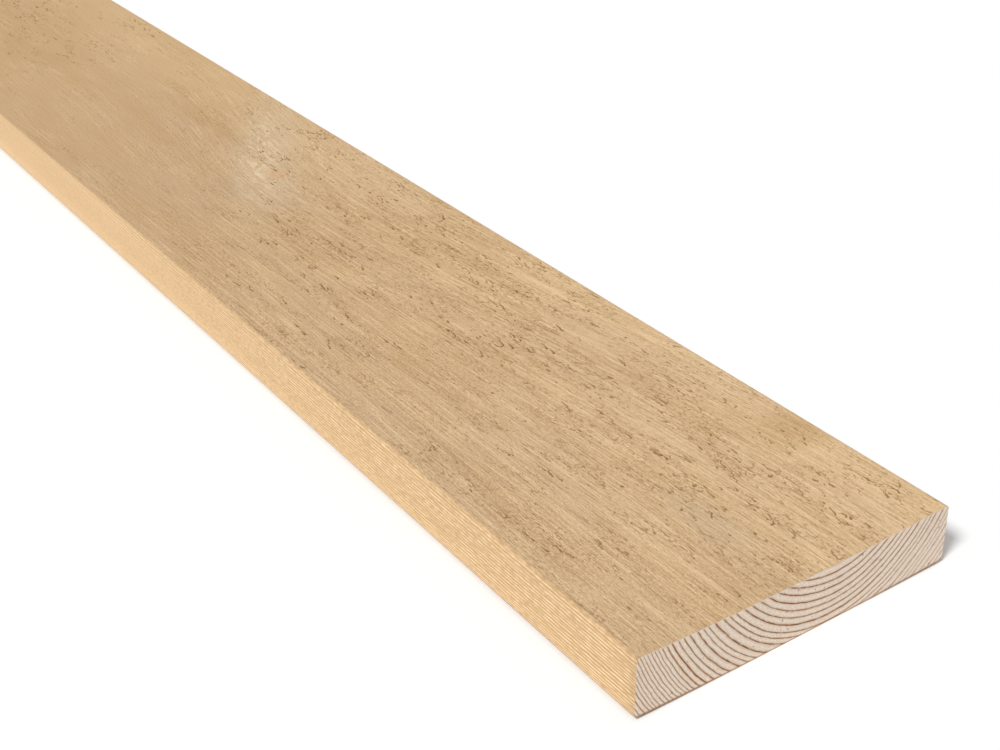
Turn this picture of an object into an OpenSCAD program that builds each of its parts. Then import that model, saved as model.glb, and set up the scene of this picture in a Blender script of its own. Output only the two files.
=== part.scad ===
// Sawn softwood plank: two rough-sawn faces, planed long edges with eased arrises and square-cut ends.
// The board has cupped a little in drying, so its section is a band between two arcs on one axis.
// X runs along the grain, Y across the width and Z up. The origin is under the middle of the plank,
// on the lowest line of its underside.

/* [Plank] */
// Length along the grain
plank_length = 1800; // [600:100:6000]
// Width between the planed edges
plank_width = 200; // [75:5:300]
// Thickness between the sawn faces
plank_thickness = 32; // [16:1:75]

/* [Drying and edges] */
// Depth of the hollow that drying has left across the top face
cup = 2; // [0.25:0.25:6]
// Radius of the eased long edges
arris_radius = 1.5; // [0.5:0.25:5]

/* [Hidden] */
half_width = plank_width / 2;
// The top face's arc passes through its middle and, a cup higher, both planed edges
top_radius = (half_width ^ 2 + cup ^ 2) / (2 * cup);
underside_radius = top_radius + plank_thickness;
// Height of the axis that both faces' arcs share
axis_height = underside_radius;
// Strips in each face's arc: an odd number, so that the plank rests on a flat middle strip
face_steps = 25;
arris_steps = 6;

// Points of an arc about a centre, from one angle to another
function arc(centre, radius, from, to, steps) =
    [for (i = [0:steps]) let (a = from + (to - from) * i / steps) centre + radius * [cos(a), sin(a)]];

// Centre of the arris circle that touches a planed edge on one side and a circle of this radius on the axis
function arris_centre(side, touching_radius) =
    let (across = half_width - arris_radius)
    [side * across, axis_height - sqrt(touching_radius ^ 2 - across ^ 2)];

// Direction of a point as seen from the shared axis
function angle_from_axis(point) = atan2(point[1] - axis_height, point[0]);

// Outline of the section, anticlockwise from the left end of the underside
module section() {
    axis = [0, axis_height];
    low_left = arris_centre(-1, underside_radius - arris_radius);
    low_right = arris_centre(1, underside_radius - arris_radius);
    high_right = arris_centre(1, top_radius + arris_radius);
    high_left = arris_centre(-1, top_radius + arris_radius);
    low_start = angle_from_axis(low_left);
    low_end = angle_from_axis(low_right);
    high_start = angle_from_axis(high_right);
    high_end = angle_from_axis(high_left);
    polygon(concat(
        arc(axis, underside_radius, low_start, low_end, face_steps),
        arc(low_right, arris_radius, low_end, 0, arris_steps),
        arc(high_right, arris_radius, 0, high_start + 180, arris_steps),
        arc(axis, top_radius, high_start, high_end, face_steps),
        arc(high_left, arris_radius, high_end + 180, 180, arris_steps),
        arc(low_left, arris_radius, -180, low_start, arris_steps)
    ));
}

module plank() {
    color("burlywood")
        translate([-plank_length / 2, 0, 0])
            rotate([90, 0, 90])
                linear_extrude(plank_length)
                    section();
}

plank();
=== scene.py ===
"""Looks of a sawn softwood plank: torn grain on its sawn faces, planed edges and ringed end grain.

X runs along the grain, Y across the width and Z up, in metres. The near end is the one at +X.
"""
import math

import bmesh
import bpy
import numpy as np
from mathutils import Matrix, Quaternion, Vector
from mathutils.geometry import delaunay_2d_cdt
from mathutils.kdtree import KDTree


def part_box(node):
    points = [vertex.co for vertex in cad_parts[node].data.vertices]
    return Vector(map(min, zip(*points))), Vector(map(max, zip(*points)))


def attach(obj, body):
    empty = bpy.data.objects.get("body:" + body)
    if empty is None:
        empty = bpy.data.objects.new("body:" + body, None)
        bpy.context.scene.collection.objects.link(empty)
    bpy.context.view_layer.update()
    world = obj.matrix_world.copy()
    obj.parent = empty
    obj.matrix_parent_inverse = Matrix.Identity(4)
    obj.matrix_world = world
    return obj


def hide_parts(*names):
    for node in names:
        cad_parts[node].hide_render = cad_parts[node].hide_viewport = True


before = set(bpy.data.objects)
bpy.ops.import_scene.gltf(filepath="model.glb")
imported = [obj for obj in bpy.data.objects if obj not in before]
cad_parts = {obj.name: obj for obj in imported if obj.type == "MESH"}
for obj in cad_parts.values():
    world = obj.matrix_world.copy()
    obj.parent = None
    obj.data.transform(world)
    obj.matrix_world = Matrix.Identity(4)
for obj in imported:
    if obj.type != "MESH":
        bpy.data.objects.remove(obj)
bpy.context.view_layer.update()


def srgb(red, green, blue):
    """A colour given as screen values from 0 to 255, made linear by the curve of the sRGB standard."""
    def linear(value):
        value /= 255
        return value / 12.92 if value <= 0.04045 else ((value + 0.055) / 1.055) ** 2.4
    return (linear(red), linear(green), linear(blue), 1.0)


# Section of the plank, as drying has left it
low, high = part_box("plank")
near_end = high.x
far_end = low.x
half_width = high.y
thickness = 0.032
cup = 0.002
arris_radius = 0.0015
top_radius = (half_width ** 2 + cup ** 2) / (2 * cup)
underside_radius = top_radius + thickness
axis_height = underside_radius

# Mesh steps
station_step = 0.020
row_step = 0.008
arris_steps = 10
edge_steps = 4
end_grid_step = 0.004
grid_shake_share = 0.33
same_point_distance = 1e-8
weld_distance = 1e-6

# Kinds of surface, as places in the mesh's list of materials
sawn_slot = 0
planed_slot = 1
end_slot = 2

# What the triangulation keeps: all of the points' hull, or the inside of an outline
whole_hull = 0
inside_outline = 1

# Growth rings: the pith runs along the plank above its top face, so the rings hang in arcs on the ends
pith_across = 0.020
pith_height = 0.080
first_ring_radius = 0.0490
rings_per_metre = 248
rings_per_square_metre = 680
slow_growth_radius = 0.1148
slow_growth_rings_per_metre = 190
ring_wave = 0.003
ring_wave_cells = (2.5, 18.0, 18.0)
ring_ripple = 0.0008
ring_ripple_cells = (3.0, 140.0, 140.0)
year_unevenness = 0.0014
year_cells = 160.0
latewood_darkest_share = 0.93
latewood_end_share = 0.95

# Knot in the sawn faces: the grain slopes down to it and bends round it
knot_along = 0.330
knot_across = 0.022
knot_reach = 0.014
knot_stretch = 0.4
grain_slope_start = 0.08
grain_slope_end = 0.38
grain_slope_across = (-0.10, 0.05)
grain_drop = 0.040

# Torn grain on the sawn faces: strokes along the grain that hook across it at their ends
stroke_depth = 0.0005
stroke_half_width = 0.0010
stroke_step = 0.0010
shortest_half_length = 0.0008
longest_half_length = 0.0072
shortest_hook = 0.0005
longest_hook = 0.0016
stroke_raggedness = 0.00015
stroke_lean = -0.08
stroke_lean_spread = 0.15
stroke_margin = 0.0010
stroke_size_power = 1.2
stroke_length_shares = (0.4, 1)
hook_middle_shares = (0.3, -0.3)
hook_spread_share = 0.9
weaker_hook_share = 0.3
hook_point_share = 0.7
hook_shortening_share = 0.3
hook_power = 3
weakest_stroke_share = 0.3
stroke_strength_power = 1.1
point_depth_shares = (0.6, 1.0)
deepening_share = 0.2
stroke_width_shares = (0.5, 1.3)
point_width_shares = (0.7, 1.25)
widening_share = 0.35
rim_gap_share = 0.75

# Where strokes of torn grain lie: in groups and clusters, most of them in the flat grain at the back
strokes_beside = 1.5
group_along = 0.008
group_across = 0.0016
cluster_cell = (0.030, 0.011)
cluster_gain = 2.6
cluster_cut = 0.5
region_cell = (0.11, 0.040)
region_least = 0.15
region_gain = 1.6
plain_stroke_share = 0.065
flat_grain_stroke_share = 0.58
near_end_part = (0.55, 0.75)
near_end_depth_share = 0.85
flat_grain_across = (0.036, 0.048)
flat_grain_reach = (0.064, 0.052)
smooth_grain_start = -0.13
smooth_grain_start_ease = 0.20
smooth_grain_end = 0.37
smooth_grain_end_ease = 0.06
smooth_grain_slant = 1.7
smooth_grain_depth_share = 0.45
smooth_grain_lost_share = 0.88
top_stroke_tries = 3900
top_seed = 5
underside_stroke_tries = 1000
underside_seed = 23

# Lattices of random values: cells before a face's low edges, and cells beyond its size in all
lattice_margin = 2
lattice_spare = 6

# Places along and across the sawn faces between which their looks change
rough_along = (0.13, 0.48)
rough_slant = 1.0
bleached_along = (0.2, 0.9)
golden_along = (0.0, 0.25)
warm_along = (0.1, 0.3)
warm_across = (0.02, 0.06)
pale_across = (0.0, 0.1)
shaded_along = (0.5, 0.8)
shaded_across = (-0.10, -0.02)
gritty_across = (-0.05, 0.04)
flecked_across = (-0.09, 0.03)

# Noises of the sawn faces: cells to the metre along the grain, across it and up, and distortion
sawn_broad_cells = (6.0, 22.0, 20.0)
mottle_cells = (16.0, 50.0, 40.0)
hue_cells = (9.0, 28.0, 20.0)
streak_cells = (11.0, 200.0, 60.0)
sawn_fibre_cells = (30.0, 760.0, 200.0)
nap_cells = (330.0, 1300.0, 300.0)
grit_cells = (800.0, 1700.0, 400.0)
mark_cluster_cells = (25.0, 80.0, 40.0)
hair_cells = (28.0, 900.0, 200.0)
dot_cells = (260.0, 700.0, 200.0)
dot_distortion = 0.8
fleck_cells = (120.0, 340.0, 100.0)
fleck_distortion = 1.4
fleck_cut_cells = (130.0, 420.0, 100.0)
fleck_cut_distortion = 1.2
curl_cells = (75.0, 240.0, 80.0)
curl_distortion = 1.3

# How much each noise and place lightens or greys the sawn faces, and their gloss and relief
streak_weight = 0.14
sawn_fibre_weight = 0.53
nap_weight = 0.60
grit_weight = 0.31
front_grit_weight = 0.35
smooth_mottle_levels = (0.42, 0.58)
smooth_strengths = (0.08, 0.55)
sawn_tone = 0.135
sawn_broad_weight = 0.25
mottle_weight = 0.15
bleached_tone = 0.19
back_tones = (-0.01, 0.08)
front_shade = 0.09
grey_levels = (0.35, 0.7)
most_grey = 0.3
warm_back_shifts = (0.02, -0.10)
warm_far_shift = -0.12
most_golden = 0.25
sawn_roughness = 0.85
sawn_gloss = 0.12
sawn_fibre_relief = 0.0005
nap_relief = 0.0006
sawn_relief_strength = 0.8

# Small marks on the sawn faces: the noise levels at which they come in, and their greatest strength
pale_fibre_levels = (0.57, 0.72)
most_pale_fibre = 0.36
hair_levels = (0.63, 0.74)
most_hair = 0.45
dot_levels = (0.58, 0.70)
most_dot = 0.42
dot_cluster_levels = (0.42, 0.60)
dot_cluster_shares = (0.3, 1.2)
fleck_line_levels = (0.0, 0.05)
fleck_levels = (0.50, 0.60)
fleck_cut_base = -0.70
fleck_cluster_weight = 1.2
fleck_back_weight = 0.13
# Flecks have no relief, so their dark colour is partly painted shade of tiny hollows
most_fleck_and_shade = 0.8
curl_levels = (0.5, 0.64)
most_curl = 0.42
# Torn grain: its dark colour is partly the torn fibres' own and partly painted shade in its hollows
torn_shade_levels = (0.0, 0.5)
most_torn_and_shade = 0.85

# Spots on the sawn faces: their centre and reach along and across, and their slant
light_spot = ((0.34, 0.075), (0.18, 0.055), 0.0)
pale_spot = ((0.295, 0.043), (0.17, 0.045), 0.55)
dull_spot = ((0.13, 0.018), (0.09, 0.035), 0.0)
curl_spot = ((0.305, 0.030), (0.11, 0.030), 0.55)
eye_spot = ((0.338, 0.027), (0.016, 0.010), 0.0)
stain_spot = ((0.805, 0.090), (0.030, 0.024), 0.0)
grey_spot = ((0.840, -0.005), (0.050, 0.018), 0.0)
spot_fade_shares = (0.2, 1.0)
most_light = 0.24
most_pale = 0.24
most_dull = 0.10
most_eye = 0.35
most_stain = 0.35
most_grey_spot = 0.3

# Colours of the sawn faces
dark_wood = srgb(167, 129, 85)
pale_wood = srgb(248, 217, 173)
grey_wood = srgb(207, 179, 150)
golden_wood = srgb(205, 174, 130)
pale_fibre_colour = srgb(232, 203, 160)
hair_colour = srgb(158, 120, 78)
# Colour of the dots and flecks; in the flecks it is partly painted shade of tiny hollows
fleck_colour = srgb(146, 108, 68)
# Colour of torn grain: dark torn fibres together with painted shade in their hollows
torn_grain_and_shade_colour = srgb(130, 96, 52)
light_colour = srgb(230, 202, 164)
pale_colour = srgb(218, 200, 172)
curl_colour = srgb(236, 218, 184)
eye_colour = srgb(212, 156, 112)
stain_colour = srgb(176, 132, 76)
grey_spot_colour = srgb(196, 174, 148)

# Planed edges: noises in cells to the metre, ring lines, depths below the top face, and colours
edge_broad_cells = (5.0, 40.0, 60.0)
edge_fibre_cells = (60.0, 900.0, 900.0)
edge_speck_cells = (260.0, 1000.0, 1000.0)
edge_fibre_weight = 2.1
edge_speck_weight = 2.7
edge_tone = 0.25
edge_broad_weight = 0.5
clear_edge_along = (0.2, 0.8)
faint_edge_share = 0.3
edge_lines_per_ring = 2.3
edge_line_start = 0.35
edge_line_faintest = 0.7
edge_line_mean = 0.27
edge_line_base = 0.35
edge_line_weight = 1.45
edge_line_levels = (0.35, 0.65)
edge_line_strengths = (0.7, 1.1)
edge_foot_depths = (0.020, 0.027)
edge_foot_tones = (-0.03, 0.22)
worn_arris_depths = (0.0003, 0.0013)
worn_arris_levels = (0.38, 0.62)
most_worn = 0.85
edge_roughness = 0.65
edge_gloss = 0.25
edge_fibre_relief = 0.0002
edge_relief_strength = 0.4
edge_dark = srgb(208, 175, 131)
edge_pale = srgb(246, 217, 172)
edge_line_colour = srgb(196, 152, 105)
worn_dark = srgb(184, 150, 109)
worn_pale = srgb(210, 177, 135)

# Sawn ends: noises in cells to the metre, ring lines, rims along the top and bottom, and colours. The top
# rim is pale fuzz with a painted highlight, the bottom rim yellow-brown fuzz with painted shade.
blotch_cells = (60.0, 60.0, 60.0)
pore_cells = (1300.0, 1300.0, 1300.0)
tint_cells = (1000.0, 1000.0, 1000.0)
end_speck_cells = (450.0, 450.0, 450.0)
break_cells = (300.0, 300.0, 300.0)
blotch_weight = 0.4
pore_weight = 2.6
end_tone = 0.75
tint_levels = (0.46, 0.66)
most_tint = 0.7
dark_ring_pair = 18.4
dark_pair_reach = (0.7, 1.0)
dark_pair_gain = 0.5
fading_corner_slope = -1.47
fading_corner_reach = (0.02, 0.085)
corner_line_share = 0.5
break_levels = (0.3, 0.6)
break_strengths = (0.7, 1.1)
fringe_start = 0.5
fringe_faintest = 0.8
outer_fringe_end = 0.25
most_outer_fringe = 0.8
most_fringe = 0.6
end_line_start = 0.73
end_line_faintest = 0.75
end_speck_levels = (0.77, 0.83)
most_end_speck = 0.6
# Top rim: pale fuzzy fibres, lightened as a painted highlight along the top arris
top_rim_highlight_depths = (0.0004, 0.0010)
most_top_rim_highlight = 0.5
# Bottom rim: yellow-brown fuzz where the saw left the wood, darkened as painted shade at the end's foot
bottom_rim_shade_heights = (0.0010, 0.0002)
most_bottom_rim_shade = 0.8
end_roughness = 0.9
end_gloss = 0.2
pore_relief = 0.0003
end_relief_strength = 0.6
end_dark = srgb(212, 190, 175)
end_pale = srgb(255, 244, 231)
tint_colour = srgb(239, 204, 166)
fringe_colour = srgb(212, 156, 92)
end_line_colour = srgb(108, 56, 20)
end_speck_colour = srgb(120, 92, 74)
# Colour of the top rim: pale fuzz and painted highlight
top_rim_fuzz_and_highlight_colour = srgb(240, 220, 204)
# Colour of the bottom rim: yellow-brown fuzz and painted shade
bottom_rim_fuzz_and_shade_colour = srgb(184, 128, 62)

# Middle of a noise's values
noise_middle = 0.5

# Sockets of a colour mix node, by number because others there share their names
first_colour_socket = 6
last_colour_socket = 7
mixed_colour_socket = 2

# Light: a sky all round, one broad lamp and a white floor
floor_reach = 20.0
floor_bounce = (0.8, 0.8, 0.8, 1.0)
floor_white = (0.982, 0.990, 1.0, 1.0)
sky_white = (1.0, 1.0, 1.0, 1.0)
sky_strength = 0.45
sky_seen_strength = 1.0
lamp_strength = 2.41
lamp_spread = math.radians(14)
toward_lamp = Vector((0.20, -0.62, 0.757))

# Camera, from its place beside the near end
camera_from_near_end = Vector((0.4058, -0.4671, 0.4848))
camera_azimuth = math.radians(54.278)
camera_elevation = math.radians(22.789)
camera_roll = math.radians(0.77)
camera_lens = 57.25
camera_shift = -0.2
camera_clip_start = 0.01


def top_height(across):
    """Height of the top face's arc at a place across the width."""
    return axis_height - math.sqrt(top_radius ** 2 - across ** 2)


def underside_height(across):
    """Height of the underside's arc at a place across the width."""
    return axis_height - math.sqrt(underside_radius ** 2 - across ** 2)


def arris_arc(side, touching_radius, start, end):
    """Points of the eased arris between a face's arc and a planed edge, as (across, height)."""
    across = half_width - arris_radius
    rise = math.sqrt(touching_radius ** 2 - across ** 2)
    centre_across = side * across
    centre_height = axis_height - rise
    lean = math.atan2(-rise, side * across)
    turns = {"down": lean, "up": lean + math.pi, "out": 0.0 if side > 0 else math.pi}
    first = turns[start]
    last = turns[end]
    sweep = (last - first + math.pi) % (2 * math.pi) - math.pi
    angles = [first + sweep * i / arris_steps for i in range(arris_steps + 1)]
    return [
        (centre_across + arris_radius * math.cos(angle), centre_height + arris_radius * math.sin(angle))
        for angle in angles
    ]


def edge_section(side):
    """Section of one planed edge with its two arrises, from the underside up to the top face."""
    lower = arris_arc(side, underside_radius - arris_radius, "down", "out")
    upper = arris_arc(side, top_radius + arris_radius, "out", "up")
    flat = [
        (side * half_width, lower[-1][1] + (upper[0][1] - lower[-1][1]) * i / edge_steps)
        for i in range(1, edge_steps)
    ]
    return lower + flat + upper


def even_steps(first, last, step):
    """Evenly spaced values from first to last, about a step apart."""
    count = round((last - first) / step)
    return [first + (last - first) * i / count for i in range(count + 1)]


def smooth_step(share):
    """A share from 0 to 1, eased at both ends."""
    return share * share * (3 - 2 * share)


def lattice_noise(rng, cell_x, cell_y):
    """A function that gives smooth noise between 0 and 1 over a face, from random values a cell apart."""
    columns = math.ceil((near_end - far_end) / cell_x) + lattice_spare
    rows = math.ceil(2 * half_width / cell_y) + lattice_spare
    values = rng.random((columns, rows))

    def noise(x, y):
        u = (x - far_end) / cell_x + lattice_margin
        v = (y + half_width) / cell_y + lattice_margin
        i = np.floor(u).astype(int)
        j = np.floor(v).astype(int)
        u = smooth_step(u - i)
        v = smooth_step(v - j)
        near = values[i, j] * (1 - v) + values[i, j + 1] * v
        far = values[i + 1, j] * (1 - v) + values[i + 1, j + 1] * v
        return near * (1 - u) + far * u

    return noise


def smoothness(x, y):
    """How smooth a sawn face is: 1 round the knot, easing to 0 along the grain, at one end on a slant."""
    past_start = np.clip((x - smooth_grain_start) / smooth_grain_start_ease, 0, 1)
    before_end = np.clip((smooth_grain_end - smooth_grain_slant * y - x) / smooth_grain_end_ease, 0, 1)
    return past_start * before_end


def stroke_chance(rng, x, y):
    """Chances that there are strokes of torn grain at places on a face."""
    cluster = lattice_noise(rng, *cluster_cell)
    region = lattice_noise(rng, *region_cell)
    middle = np.interp(x, near_end_part, flat_grain_across)
    reach = np.interp(x, near_end_part, flat_grain_reach)
    flat_grain = np.exp(-((y - middle) / reach) ** 2)
    share = plain_stroke_share + flat_grain_stroke_share * flat_grain
    share = share * (1 - smooth_grain_lost_share * smoothness(x, y))
    clustering = np.clip(cluster_gain * cluster(x, y) - cluster_cut, 0, None)
    return share * clustering * (region_least + region_gain * region(x, y))


def torn_stroke(rng):
    """One ragged stroke that hooks more at one end.

    Gives its points, along and across from its middle, and their depths from 0 to 1.
    """
    size = rng.random() ** stroke_size_power
    longer = (longest_half_length - shortest_half_length) * size
    half_length = shortest_half_length + longer * rng.uniform(*stroke_length_shares)
    hook = shortest_hook + (longest_hook - shortest_hook) * size
    hooks = rng.normal(hook_middle_shares, hook_spread_share) * hook
    hooks[rng.integers(2)] *= weaker_hook_share
    slope = rng.normal(stroke_lean, stroke_lean_spread)
    count = 2 * math.ceil((half_length + hook_point_share * np.abs(hooks).max()) / stroke_step) + 1
    share = np.linspace(-1, 1, count)
    bend = np.abs(share) ** hook_power
    along = half_length * share * (1 - hook_shortening_share * bend)
    across = np.where(share < 0, hooks[0], hooks[1]) * bend + slope * along
    across = across + rng.normal(0, stroke_raggedness, count)
    strength = weakest_stroke_share + (1 - weakest_stroke_share) * rng.random() ** stroke_strength_power
    depth = strength * rng.uniform(*point_depth_shares, count)
    depth = depth * (1 - deepening_share + deepening_share * share)
    width = stroke_half_width * rng.uniform(*stroke_width_shares) * rng.uniform(*point_width_shares, count)
    width = width * (1 + widening_share * share)

    rim_along = along[:, None] + width[:, None] * np.array([1, 0, -1, 0])
    rim_across = across[:, None] + width[:, None] * np.array([0, 1, 0, -1])
    gaps = np.hypot(rim_along[..., None] - along, rim_across[..., None] - across)
    outside = (gaps > rim_gap_share * width[:, None, None]).all(axis=2)
    all_along = np.concatenate([along, rim_along[outside]])
    all_across = np.concatenate([across, rim_across[outside]])
    depths = np.concatenate([depth, np.zeros(outside.sum())])
    return all_along, all_across, depths


def torn_strokes(rng, reach, tries):
    """Points and depths of all the strokes on one sawn face."""
    middle_x = rng.uniform(far_end, near_end, tries)
    middle_y = rng.uniform(-reach, reach, tries)
    kept = rng.random(tries) < stroke_chance(rng, middle_x, middle_y)
    strokes = []
    for x, y in zip(middle_x[kept], middle_y[kept]):
        for _ in range(1 + rng.poisson(strokes_beside)):
            along, across, depths = torn_stroke(rng)
            depths = depths * (1 - (1 - smooth_grain_depth_share) * smoothness(x, y))
            depths = depths * np.interp(x, near_end_part, (1.0, near_end_depth_share))
            strokes.append((x + along, y + across, depths))
            x = x + rng.normal(0, group_along)
            y = y + rng.normal(0, group_across)
    x, y, depths = [np.concatenate(column) for column in zip(*strokes)]
    inside_x = (x > far_end + stroke_margin) & (x < near_end - stroke_margin)
    inside = inside_x & (np.abs(y) < reach - stroke_margin)
    return x[inside], y[inside], depths[inside]


def shaken_grid(rng, xs, ys):
    """Points of a grid, each moved at random by a share of the step."""
    x, y = np.meshgrid(xs, ys, indexing="ij")
    x = x + rng.uniform(-grid_shake_share, grid_shake_share, x.shape) * (xs[1] - xs[0])
    y = y + rng.uniform(-grid_shake_share, grid_shake_share, y.shape) * (ys[1] - ys[0])
    return x.ravel(), y.ravel()


def sawn_sheet(reach, height, inward, tries, seed):
    """Points, faces and torn depths of one sawn face: coarse where it is whole, fine along its strokes."""
    rng = np.random.default_rng(seed)
    stations = even_steps(far_end, near_end, station_step)
    rows = even_steps(-reach, reach, row_step)
    rim = [(x, y) for x in stations for y in (rows[0], rows[-1])]
    rim += [(x, y) for x in (stations[0], stations[-1]) for y in rows[1:-1]]
    points = [Vector(p) for p in rim]
    stroke_x, stroke_y, stroke_depths = torn_strokes(rng, reach, tries)
    points += [Vector(p) for p in zip(stroke_x, stroke_y)]
    near_points = KDTree(len(points))
    for i, point in enumerate(points):
        near_points.insert((point.x, point.y, 0), i)
    near_points.balance()
    for x, y in zip(*shaken_grid(rng, np.array(stations[1:-1]), np.array(rows[1:-1]))):
        if near_points.find((x, y, 0))[2] > stroke_margin:
            points.append(Vector((x, y)))
    depths = np.zeros(len(points))
    depths[len(rim):len(rim) + len(stroke_depths)] = stroke_depths
    made, _, faces, origins, _, _ = delaunay_2d_cdt(points, [], [], whole_hull, same_point_distance)
    depths = [depths[origin[0]] for origin in origins]
    vertices = [(p.x, p.y, height(p.y) + inward * stroke_depth * d) for p, d in zip(made, depths)]
    return vertices, faces, depths


def edge_strip(side):
    """Points and faces of one planed edge with its arrises."""
    section = edge_section(side)
    stations = even_steps(far_end, near_end, station_step)
    vertices = [(x, across, up) for x in stations for across, up in section]
    faces = []
    for i in range(len(stations) - 1):
        for j in range(len(section) - 1):
            corner = i * len(section) + j
            faces.append((corner, corner + 1, corner + len(section) + 1, corner + len(section)))
    return vertices, faces


def end_cap(x, top_rows, underside_rows):
    """Points and faces of one square-cut end."""
    under = [(y, underside_height(y)) for y in underside_rows]
    over = [(y, top_height(y)) for y in reversed(top_rows)]
    right = edge_section(1)[1:-1]
    left = list(reversed(edge_section(-1)))[1:-1]
    outline = under + right + over + left
    inner = []
    for y in even_steps(-half_width, half_width, end_grid_step)[1:-1]:
        for z in even_steps(underside_height(y), top_height(y), end_grid_step)[1:-1]:
            inner.append((y, z))
    points = [Vector(p) for p in outline + inner]
    border = [list(range(len(outline)))]
    made, _, faces, _, _, _ = delaunay_2d_cdt(points, [], border, inside_outline, same_point_distance)
    return [(x, p.x, p.y) for p in made], faces


def plank_surfaces():
    """Points, faces, torn depths and material slot of each side of the plank."""
    top_reach = (half_width - arris_radius) * top_radius / (top_radius + arris_radius)
    underside_reach = (half_width - arris_radius) * underside_radius / (underside_radius - arris_radius)
    top = sawn_sheet(top_reach, top_height, -1, top_stroke_tries, top_seed)
    underside = sawn_sheet(underside_reach, underside_height, 1, underside_stroke_tries, underside_seed)
    surfaces = [(*top, sawn_slot), (*underside, sawn_slot)]
    for side in (-1, 1):
        vertices, faces = edge_strip(side)
        surfaces.append((vertices, faces, [0.0] * len(vertices), planed_slot))
    top_rows = even_steps(-top_reach, top_reach, row_step)
    underside_rows = even_steps(-underside_reach, underside_reach, row_step)
    for x in (far_end, near_end):
        vertices, faces = end_cap(x, top_rows, underside_rows)
        surfaces.append((vertices, faces, [0.0] * len(vertices), end_slot))
    return surfaces


def build_plank(materials):
    """One closed mesh of the plank, with a material for its sawn faces, planed edges and ends."""
    vertices = []
    faces = []
    depths = []
    slots = []
    for surface_vertices, surface_faces, surface_depths, slot in plank_surfaces():
        first = len(vertices)
        vertices += surface_vertices
        depths += surface_depths
        faces += [[first + i for i in face] for face in surface_faces]
        slots += [slot] * len(surface_faces)
    mesh = bpy.data.meshes.new("sawn_plank")
    mesh.from_pydata(vertices, [], faces)
    mesh.polygons.foreach_set("material_index", slots)
    mesh.polygons.foreach_set("use_smooth", [slot == planed_slot for slot in slots])
    torn = mesh.attributes.new("torn", "FLOAT", "POINT")
    torn.data.foreach_set("value", depths)
    for material in materials:
        mesh.materials.append(material)

    work = bmesh.new()
    work.from_mesh(mesh)
    bmesh.ops.remove_doubles(work, verts=work.verts, dist=weld_distance)
    bmesh.ops.recalc_face_normals(work, faces=work.faces)
    work.to_mesh(mesh)
    work.free()
    piece = bpy.data.objects.new("sawn_plank", mesh)
    bpy.context.collection.objects.link(piece)
    return piece


class Graph:
    """A material's node tree, with short calls for the nodes used here."""

    def __init__(self, name):
        self.material = bpy.data.materials.new(name)
        self.material.use_nodes = True
        self.tree = self.material.node_tree
        self.shader = self.tree.nodes["Principled BSDF"]
        self.place = self.node("ShaderNodeTexCoord").outputs["Object"]
        parts = self.node("ShaderNodeSeparateXYZ", self.place).outputs
        self.along = parts[0]
        self.across = parts[1]
        self.up = parts[2]

    def link(self, value, socket):
        """Joins a node's output to a socket, or sets the socket to a plain value."""
        if isinstance(value, bpy.types.NodeSocket):
            self.tree.links.new(value, socket)
        else:
            socket.default_value = value

    def node(self, kind, *inputs, **settings):
        """A node with its settings, and its first inputs in order."""
        made = self.tree.nodes.new(kind)
        for name, value in settings.items():
            setattr(made, name, value)
        for socket, value in zip(made.inputs, inputs):
            self.link(value, socket)
        return made

    def math(self, operation, *inputs):
        """The result of one operation on numbers."""
        return self.node("ShaderNodeMath", *inputs, operation=operation).outputs[0]

    def product(self, first, *others):
        """Numbers multiplied together."""
        for value in others:
            first = self.math("MULTIPLY", first, value)
        return first

    def squares(self, first, last):
        """The sum of two numbers' squares."""
        return self.math("ADD", self.math("MULTIPLY", first, first), self.math("MULTIPLY", last, last))

    def total(self, base, *shares):
        """A base number plus each value times its weight."""
        for value, weight in shares:
            base = self.math("MULTIPLY_ADD", value, weight, base)
        return base

    def centred(self, value):
        """A value between 0 and 1, less its middle."""
        return self.math("SUBTRACT", value, noise_middle)

    def blend(self, *shares):
        """Noises added by weight, less the middle of their sum."""
        return self.total(-noise_middle * sum(weight for _, weight in shares), *shares)

    def noise(self, vector, cells, detail=1.0, distortion=0.0):
        """Smooth noise between 0 and 1, with a number of cells to the metre on each axis."""
        stretched = self.node("ShaderNodeVectorMath", vector, cells, operation="MULTIPLY").outputs[0]
        made = self.node("ShaderNodeTexNoise")
        self.link(stretched, made.inputs["Vector"])
        made.inputs["Scale"].default_value = 1.0
        made.inputs["Detail"].default_value = detail
        made.inputs["Distortion"].default_value = distortion
        return made.outputs[0]

    def ease(self, value, places, results=(0.0, 1.0)):
        """A smooth step from one result to another as a value goes from one place to another."""
        made = self.node("ShaderNodeMapRange", value, *places, *results, interpolation_type="SMOOTHSTEP")
        return made.outputs[0]

    def mix(self, share, first, last):
        """A colour between two others."""
        made = self.node("ShaderNodeMix", data_type="RGBA")
        self.link(share, made.inputs["Factor"])
        self.link(first, made.inputs[first_colour_socket])
        self.link(last, made.inputs[last_colour_socket])
        return made.outputs[mixed_colour_socket]

    def bump(self, height, distance, strength, normal=None):
        """A normal from heights, in metres for each unit of height, added to another normal if given."""
        made = self.node("ShaderNodeBump")
        made.inputs["Strength"].default_value = strength
        made.inputs["Distance"].default_value = distance
        self.link(height, made.inputs["Height"])
        if normal is not None:
            self.link(normal, made.inputs["Normal"])
        return made.outputs[0]

    def surface(self, colour, normal, roughness, gloss):
        """The material, with a colour and normal from nodes and one roughness and gloss all over."""
        self.link(colour, self.shader.inputs["Base Color"])
        self.link(normal, self.shader.inputs["Normal"])
        self.shader.inputs["Roughness"].default_value = roughness
        self.shader.inputs["Specular IOR Level"].default_value = gloss
        return self.material


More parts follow.
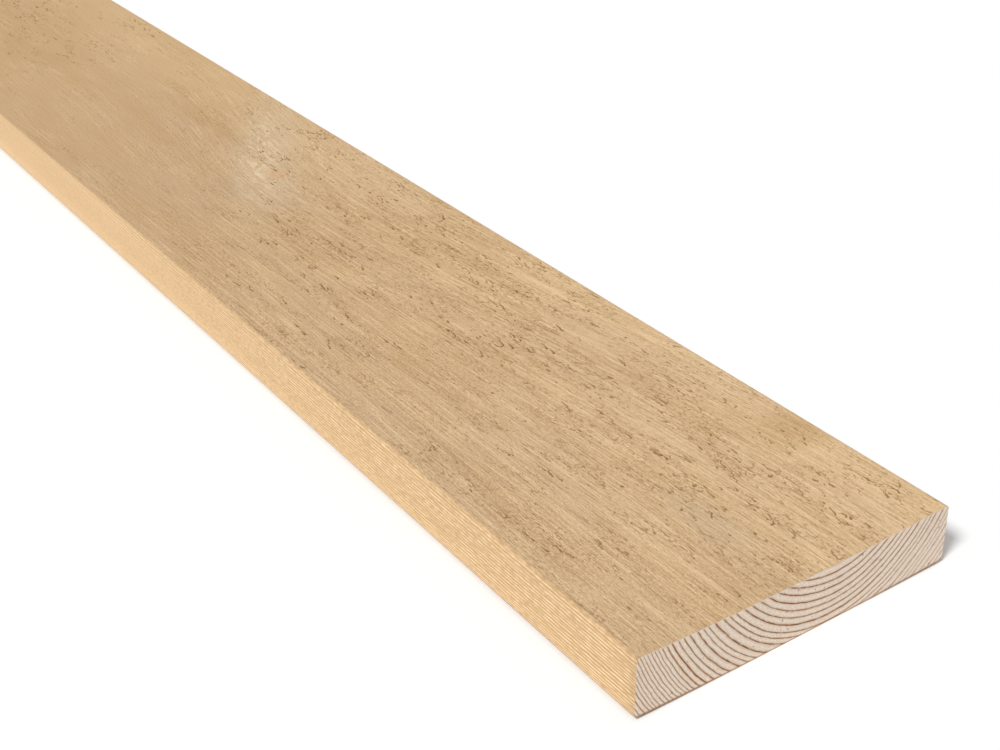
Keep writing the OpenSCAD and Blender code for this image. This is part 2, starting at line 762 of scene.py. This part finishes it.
def ring_number(graph):
    """How many rings out from the pith a point lies, with a little waviness."""
    across = graph.math("SUBTRACT", graph.across, pith_across)
    up = graph.math("SUBTRACT", graph.up, pith_height)
    radius = graph.math("SQRT", graph.squares(across, up))
    waves = graph.centred(graph.noise(graph.place, ring_wave_cells))
    years = graph.node("ShaderNodeTexNoise", noise_dimensions="1D")
    graph.link(radius, years.inputs["W"])
    years.inputs["Scale"].default_value = year_cells
    years.inputs["Detail"].default_value = 0.0
    uneven = graph.centred(years.outputs[0])
    ripple = graph.centred(graph.noise(graph.place, ring_ripple_cells))
    radius = graph.total(radius, (waves, ring_wave), (uneven, year_unevenness), (ripple, ring_ripple))
    out = graph.math("SUBTRACT", radius, first_ring_radius)
    number = graph.math("MULTIPLY", out, graph.total(rings_per_metre, (out, rings_per_square_metre)))
    late = graph.math("MAXIMUM", graph.math("SUBTRACT", radius, slow_growth_radius), 0.0)
    return graph.total(number, (late, slow_growth_rings_per_metre))


def latewood(graph, number, start, faintest):
    """Darkness of the latewood line at the outside of each ring, with some rings fainter."""
    share = graph.math("FRACT", number)
    ring = graph.node("ShaderNodeTexWhiteNoise", noise_dimensions="1D")
    graph.link(graph.math("FLOOR", number), ring.inputs["W"])
    strength = graph.math("MULTIPLY_ADD", ring.outputs["Value"], 1 - faintest, faintest)
    rise = graph.ease(share, (start, latewood_darkest_share))
    fall = graph.ease(share, (latewood_end_share, 1.0), (1.0, 0.0))
    return graph.product(rise, fall, strength)


def bent_grain(graph):
    """Position on a sawn face with the grain sloping down to the knot and bent round it."""
    along = graph.math("MULTIPLY", graph.math("SUBTRACT", graph.along, knot_along), knot_stretch)
    across = graph.math("SUBTRACT", graph.across, knot_across)
    softened = graph.math("ADD", graph.squares(along, across), knot_reach ** 2)
    share = graph.math("DIVIDE", knot_reach ** 2, softened)
    round_knot = graph.math("MULTIPLY", across, share)
    fall = graph.ease(graph.along, (grain_slope_start, grain_slope_end))
    rise = graph.ease(graph.along, (grain_slope_end, near_end))
    slope = graph.product(graph.math("SUBTRACT", fall, rise), graph.ease(graph.across, grain_slope_across))
    bent = graph.total(graph.across, (round_knot, -1.0), (slope, grain_drop))
    return graph.node("ShaderNodeCombineXYZ", graph.along, bent, graph.up).outputs[0]


def depth_below_top(graph):
    """How far a point lies below the arc of the top face."""
    up = graph.math("SUBTRACT", graph.up, axis_height)
    return graph.math("SUBTRACT", graph.math("SQRT", graph.squares(graph.across, up)), top_radius)


def spot_share(graph, centre, reach, slant):
    """1 at a spot on a sawn face, easing to 0 at its reach along and across the grain."""
    along = graph.math("SUBTRACT", graph.along, centre[0])
    across = graph.total(graph.math("SUBTRACT", graph.across, centre[1]), (along, slant))
    squared = graph.squares(graph.math("DIVIDE", along, reach[0]), graph.math("DIVIDE", across, reach[1]))
    return graph.ease(graph.math("SQRT", squared), spot_fade_shares, (1.0, 0.0))


def spotted(graph, colour, spot, share, spot_colour):
    """A colour with one spot of another colour mixed into it."""
    return graph.mix(graph.product(spot_share(graph, *spot), share), colour, spot_colour)


def fleck_share(graph, grain, clusters):
    """Shallow torn grain, from 0 to 1: short curled strokes, in clusters, whose dark colour is partly
    painted shade of tiny hollows.
    """
    level = graph.noise(grain, fleck_cells, detail=0.0, distortion=fleck_distortion)
    off_line = graph.math("ABSOLUTE", graph.centred(level))
    stroke = graph.ease(off_line, fleck_line_levels, (1.0, 0.0))
    cut = graph.noise(grain, fleck_cut_cells, detail=0.0, distortion=fleck_cut_distortion)
    back = graph.ease(graph.across, flecked_across)
    chance = graph.total(
        fleck_cut_base, (cut, 1.0), (clusters, fleck_cluster_weight), (back, fleck_back_weight)
    )
    return graph.product(stroke, graph.ease(chance, fleck_levels))


def sawn_wood(graph, grain, fibres, nap, mottle, strength):
    """Colour of a sawn face without its marks: streaked, napped, and paler or greyer in places."""
    broad = graph.noise(graph.place, sawn_broad_cells)
    hue = graph.noise(graph.place, hue_cells)
    streaks = graph.noise(grain, streak_cells)
    grit = graph.noise(grain, grit_cells, detail=0.0)
    texture = graph.blend(
        (streaks, streak_weight), (fibres, sawn_fibre_weight), (nap, nap_weight), (grit, grit_weight)
    )
    front_grit = graph.ease(graph.across, gritty_across, (front_grit_weight, 0.0))
    texture = graph.total(texture, (graph.product(graph.centred(grit), front_grit), 1.0))
    texture = graph.product(texture, strength)
    bleached = graph.ease(graph.along, bleached_along, (0.0, bleached_tone))
    back = graph.ease(graph.across, pale_across, back_tones)
    front = graph.ease(graph.across, shaded_across, (front_shade, 0.0))
    front = graph.product(front, graph.ease(graph.along, shaded_along))
    tone = graph.total(sawn_tone, (texture, 1.0), (broad, sawn_broad_weight), (mottle, mottle_weight))
    tone = graph.total(tone, (bleached, 1.0), (back, 1.0), (front, -1.0))
    colour = graph.mix(tone, dark_wood, pale_wood)
    warm_back = graph.ease(graph.across, warm_across, warm_back_shifts)
    warm_far = graph.ease(graph.along, warm_along, (warm_far_shift, 0.0))
    grey = graph.total(hue, (warm_back, 1.0), (warm_far, 1.0))
    colour = graph.mix(graph.ease(grey, grey_levels, (0.0, most_grey)), colour, grey_wood)
    return graph.mix(graph.ease(graph.along, golden_along, (most_golden, 0.0)), colour, golden_wood)


def with_grain_marks(graph, colour, grain, fibres, strength):
    """A sawn face's colour with pale fibres, dark hairlines, dots and flecks, the flecks partly painted
    shade.
    """
    clusters = graph.noise(grain, mark_cluster_cells)
    hairs = graph.noise(grain, hair_cells)
    dots = graph.noise(grain, dot_cells, distortion=dot_distortion)
    share = graph.product(graph.ease(fibres, pale_fibre_levels, (0.0, most_pale_fibre)), strength)
    colour = graph.mix(share, colour, pale_fibre_colour)
    share = graph.product(graph.ease(hairs, hair_levels, (0.0, most_hair)), strength)
    colour = graph.mix(share, colour, hair_colour)
    share = graph.product(graph.ease(dots, dot_levels, (0.0, most_dot)), strength)
    share = graph.product(share, graph.ease(clusters, dot_cluster_levels, dot_cluster_shares))
    colour = graph.mix(share, colour, fleck_colour)
    # Flecks: dark torn grain drawn in colour alone, partly painted shade of tiny hollows
    share = graph.product(fleck_share(graph, grain, clusters), most_fleck_and_shade, strength)
    return graph.mix(share, colour, fleck_colour)


def with_spots(graph, colour, grain):
    """A sawn face's colour with the knot, the pale curled grain round it, and a few stains."""
    colour = spotted(graph, colour, light_spot, most_light, light_colour)
    colour = spotted(graph, colour, pale_spot, most_pale, pale_colour)
    colour = spotted(graph, colour, dull_spot, most_dull, pale_colour)
    curls = graph.noise(grain, curl_cells, distortion=curl_distortion)
    curls = graph.ease(curls, curl_levels, (0.0, most_curl))
    colour = spotted(graph, colour, curl_spot, curls, curl_colour)
    colour = spotted(graph, colour, eye_spot, most_eye, eye_colour)
    colour = spotted(graph, colour, stain_spot, most_stain, stain_colour)
    return spotted(graph, colour, grey_spot, most_grey_spot, grey_spot_colour)


def sawn_material():
    """Rough-sawn face: pale fibres along the grain, fine granular nap, small marks and brown torn grain,
    darkened partly as painted shade in its hollows.
    """
    graph = Graph("sawn_face")
    grain = bent_grain(graph)
    mottle = graph.noise(graph.place, mottle_cells)
    fibres = graph.noise(grain, sawn_fibre_cells)
    nap = graph.noise(grain, nap_cells, detail=2.0)
    smooth = graph.ease(mottle, smooth_mottle_levels, smooth_strengths)
    slanted = graph.total(graph.along, (graph.across, rough_slant))
    strength = graph.ease(slanted, rough_along, (smooth, 1.0))
    colour = sawn_wood(graph, grain, fibres, nap, mottle, strength)
    colour = with_grain_marks(graph, colour, grain, fibres, strength)
    colour = with_spots(graph, colour, grain)
    torn = graph.node("ShaderNodeAttribute", attribute_name="torn").outputs["Fac"]
    # Painted shade: the torn grain's hollows darkened beyond the shade their depth casts, along with the
    # torn fibres' own darker colour
    colour = graph.mix(graph.ease(torn, torn_shade_levels, (0.0, most_torn_and_shade)), colour, torn_grain_and_shade_colour)
    relief = graph.bump(fibres, sawn_fibre_relief, sawn_relief_strength)
    relief = graph.bump(nap, nap_relief, sawn_relief_strength, relief)
    return graph.surface(colour, relief, sawn_roughness, sawn_gloss)


def planed_material():
    """Planed edge: smooth and pale, with the rings cut as fine straight lines and its upper arris worn."""
    graph = Graph("planed_edge")
    broad = graph.noise(graph.place, edge_broad_cells, detail=2.0)
    fibres = graph.noise(graph.place, edge_fibre_cells, detail=2.0)
    specks = graph.noise(graph.place, edge_speck_cells)
    strength = graph.ease(graph.along, clear_edge_along, (faint_edge_share, 1.0))
    texture = graph.product(graph.blend((fibres, edge_fibre_weight), (specks, edge_speck_weight)), strength)
    depth = depth_below_top(graph)
    foot = graph.ease(depth, edge_foot_depths, edge_foot_tones)
    tone = graph.total(edge_tone, (broad, edge_broad_weight), (texture, 1.0), (foot, 1.0))
    colour = graph.mix(tone, edge_dark, edge_pale)

    number = graph.product(ring_number(graph), edge_lines_per_ring)
    lines = latewood(graph, number, edge_line_start, edge_line_faintest)
    uneven = graph.ease(broad, edge_line_levels, edge_line_strengths)
    lines = graph.product(graph.math("SUBTRACT", lines, edge_line_mean), strength, uneven)
    colour = graph.mix(graph.total(edge_line_base, (lines, edge_line_weight)), colour, edge_line_colour)

    worn = graph.centred(graph.ease(specks, worn_arris_levels))
    worn = graph.total(noise_middle, (graph.product(worn, strength), 1.0))
    arris = graph.mix(worn, worn_dark, worn_pale)
    colour = graph.mix(graph.ease(depth, worn_arris_depths, (most_worn, 0.0)), colour, arris)
    relief = graph.bump(fibres, edge_fibre_relief, edge_relief_strength)
    return graph.surface(colour, relief, edge_roughness, edge_gloss)


def end_line_strength(graph, number):
    """How dark the ring lines on an end are: darkest at one pair, fading to a corner, and broken."""
    from_pair = graph.math("ABSOLUTE", graph.math("SUBTRACT", number, dark_ring_pair))
    strength = graph.total(1.0, (graph.ease(from_pair, dark_pair_reach, (1.0, 0.0)), dark_pair_gain))
    corner = graph.total(graph.across, (graph.up, fading_corner_slope))
    fade = graph.ease(corner, fading_corner_reach, (1.0, corner_line_share))
    broken = graph.ease(graph.noise(graph.place, break_cells), break_levels, break_strengths)
    return graph.product(strength, fade, broken)


def end_material():
    """Sawn end grain: pinkish pale rings, each closed by a thin brown line with an orange fringe, a painted
    highlight on the pale top rim and painted shade on the yellow-brown bottom rim.
    """
    graph = Graph("end_grain")
    blotches = graph.noise(graph.place, blotch_cells, detail=3.0)
    pores = graph.noise(graph.place, pore_cells, detail=2.0)
    tint = graph.noise(graph.place, tint_cells, detail=2.0)
    specks = graph.noise(graph.place, end_speck_cells, detail=0.0)
    tone = graph.total(end_tone, (graph.blend((blotches, blotch_weight), (pores, pore_weight)), 1.0))
    colour = graph.mix(tone, end_dark, end_pale)
    colour = graph.mix(graph.ease(tint, tint_levels, (0.0, most_tint)), colour, tint_colour)

    number = ring_number(graph)
    strength = end_line_strength(graph, number)
    outer = graph.ease(graph.math("FRACT", number), (0.0, outer_fringe_end), (most_outer_fringe, 0.0))
    fringe = graph.math("MAXIMUM", latewood(graph, number, fringe_start, fringe_faintest), outer)
    colour = graph.mix(graph.product(fringe, strength, most_fringe), colour, fringe_colour)
    line = latewood(graph, number, end_line_start, end_line_faintest)
    colour = graph.mix(graph.product(line, strength), colour, end_line_colour)
    speck = graph.ease(specks, end_speck_levels, (0.0, most_end_speck))
    colour = graph.mix(speck, colour, end_speck_colour)

    depth = depth_below_top(graph)
    # Painted highlight along the top arris of the end, on its pale fuzzy fibres
    colour = graph.mix(graph.ease(depth, top_rim_highlight_depths, (most_top_rim_highlight, 0.0)), colour, top_rim_fuzz_and_highlight_colour)
    # Painted shade along the foot of the end, on the yellow-brown fuzz where the saw left the wood
    bottom_rim_shade_depths = [thickness - height for height in bottom_rim_shade_heights]
    bottom_rim_shade = graph.ease(depth, bottom_rim_shade_depths, (0.0, most_bottom_rim_shade))
    colour = graph.mix(bottom_rim_shade, colour, bottom_rim_fuzz_and_shade_colour)
    relief = graph.bump(pores, pore_relief, end_relief_strength)
    return graph.surface(colour, relief, end_roughness, end_gloss)


def seen_directly(tree):
    """1 for what the camera or a reflection shows, and 0 for light that falls on the plank."""
    path = tree.nodes.new("ShaderNodeLightPath")
    either = tree.nodes.new("ShaderNodeMath")
    either.operation = "MAXIMUM"
    tree.links.new(path.outputs["Is Camera Ray"], either.inputs[0])
    tree.links.new(path.outputs["Is Glossy Ray"], either.inputs[1])
    return either.outputs[0]


def white_floor():
    """Floor that looks white to the camera where it is lit, and keeps the plank's shadow."""
    mesh = bpy.data.meshes.new("floor")
    corners = [(x * floor_reach, y * floor_reach, 0) for x, y in ((-1, -1), (1, -1), (1, 1), (-1, 1))]
    mesh.from_pydata(corners, [], [(0, 1, 2, 3)])
    material = bpy.data.materials.new("floor")
    material.use_nodes = True
    tree = material.node_tree
    tree.nodes.clear()
    white = tree.nodes.new("ShaderNodeMix")
    white.data_type = "RGBA"
    white.inputs[first_colour_socket].default_value = floor_bounce
    white.inputs[last_colour_socket].default_value = floor_white
    tree.links.new(seen_directly(tree), white.inputs["Factor"])
    matt = tree.nodes.new("ShaderNodeBsdfDiffuse")
    tree.links.new(white.outputs[mixed_colour_socket], matt.inputs["Color"])
    out = tree.nodes.new("ShaderNodeOutputMaterial")
    tree.links.new(matt.outputs[0], out.inputs["Surface"])
    mesh.materials.append(material)
    floor = bpy.data.objects.new("floor", mesh)
    bpy.context.collection.objects.link(floor)
    return floor


def light_scene():
    """A white sky all round, and a broad soft lamp from the front and above."""
    world = bpy.data.worlds.new("studio")
    bpy.context.scene.world = world
    world.use_nodes = True
    tree = world.node_tree
    sky = tree.nodes["Background"]
    strength = tree.nodes.new("ShaderNodeMapRange")
    strength.inputs["To Min"].default_value = sky_strength
    strength.inputs["To Max"].default_value = sky_seen_strength
    tree.links.new(seen_directly(tree), strength.inputs["Value"])
    tree.links.new(strength.outputs[0], sky.inputs["Strength"])
    sky.inputs["Color"].default_value = sky_white
    lamp = bpy.data.lights.new("softbox", "SUN")
    lamp.energy = lamp_strength
    lamp.angle = lamp_spread
    key = bpy.data.objects.new("softbox", lamp)
    key.rotation_mode = "QUATERNION"
    key.rotation_quaternion = toward_lamp.to_track_quat("Z", "Y")
    bpy.context.collection.objects.link(key)


def place_camera():
    """A camera that looks down at the near end from the front."""
    data = bpy.data.cameras.new("camera")
    data.lens = camera_lens
    data.sensor_fit = "HORIZONTAL"
    data.shift_y = camera_shift
    data.clip_start = camera_clip_start
    camera = bpy.data.objects.new("camera", data)
    level = math.cos(camera_elevation)
    toward_x = math.sin(camera_azimuth) * level
    toward_y = -math.cos(camera_azimuth) * level
    backward = Vector((toward_x, toward_y, math.sin(camera_elevation)))
    camera.rotation_mode = "QUATERNION"
    camera.rotation_quaternion = (-backward).to_track_quat("-Z", "Y") @ Quaternion((0, 0, 1), camera_roll)
    camera.location = Vector((near_end, 0, 0)) + camera_from_near_end
    bpy.context.collection.objects.link(camera)
    bpy.context.scene.camera = camera


bpy.context.scene.view_settings.view_transform = "Standard"
place_camera()
light_scene()
white_floor()

plank = build_plank([sawn_material(), planed_material(), end_material()])
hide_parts("plank")
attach(plank, "root")
